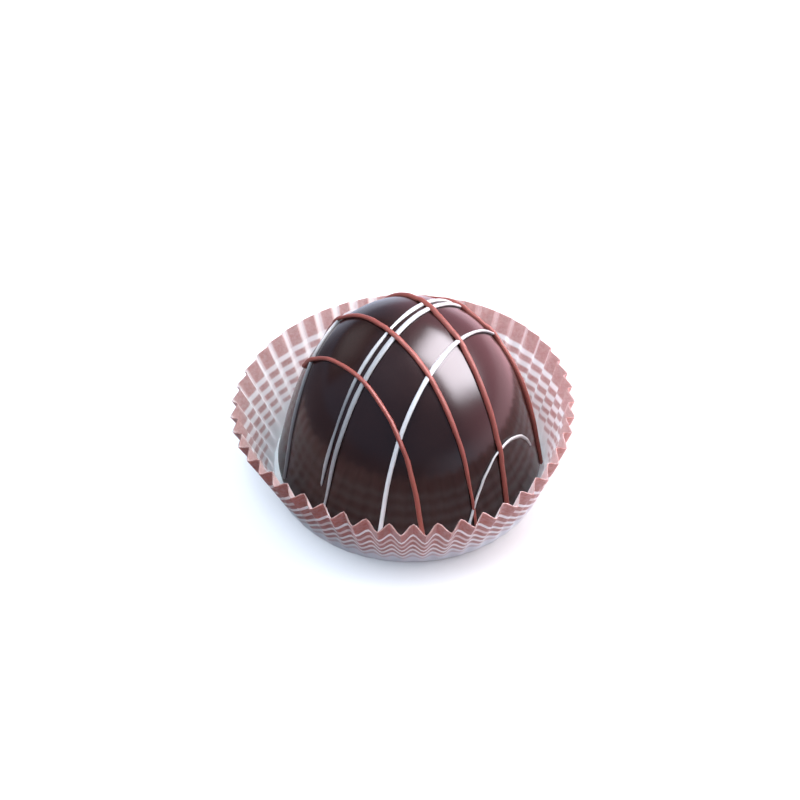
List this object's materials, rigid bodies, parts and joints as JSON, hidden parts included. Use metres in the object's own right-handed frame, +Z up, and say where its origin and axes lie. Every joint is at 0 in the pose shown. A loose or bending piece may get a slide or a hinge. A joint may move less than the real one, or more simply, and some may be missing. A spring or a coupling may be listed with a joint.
{
  "type": "chocolate truffle",
  "caption": "Domed dark chocolate truffle with a criss-cross drizzle of milk and white chocolate, standing in a flared, pleated paper case.",
  "frame": {"origin": "under the middle of the whole outline, on the surface that the paper case stands on", "axes": "+Z up through the truffle; +X to the right and +Y away, seen from the front side, where the two near-straight sets of drizzle run down to the case"},
  "size_m": [0.0398, 0.0402, 0.0222],
  "materials": {
    "dark_chocolate": "gloss",
    "milk_chocolate": "satin",
    "white_chocolate": "satin",
    "case_paper": "matte"
  },
  "bodies": {
    "root": {"truffle": "dark_chocolate", "paper_case": "case_paper", "milk_strand_1": "milk_chocolate", "milk_strand_2": "milk_chocolate", "milk_strand_3": "milk_chocolate", "milk_strand_4": "milk_chocolate", "white_strand_1": "white_chocolate", "white_strand_2": "white_chocolate", "white_strand_3": "white_chocolate", "white_strand_4": "white_chocolate", "white_strand_5": "white_chocolate"}
  },
  "joints": []
}
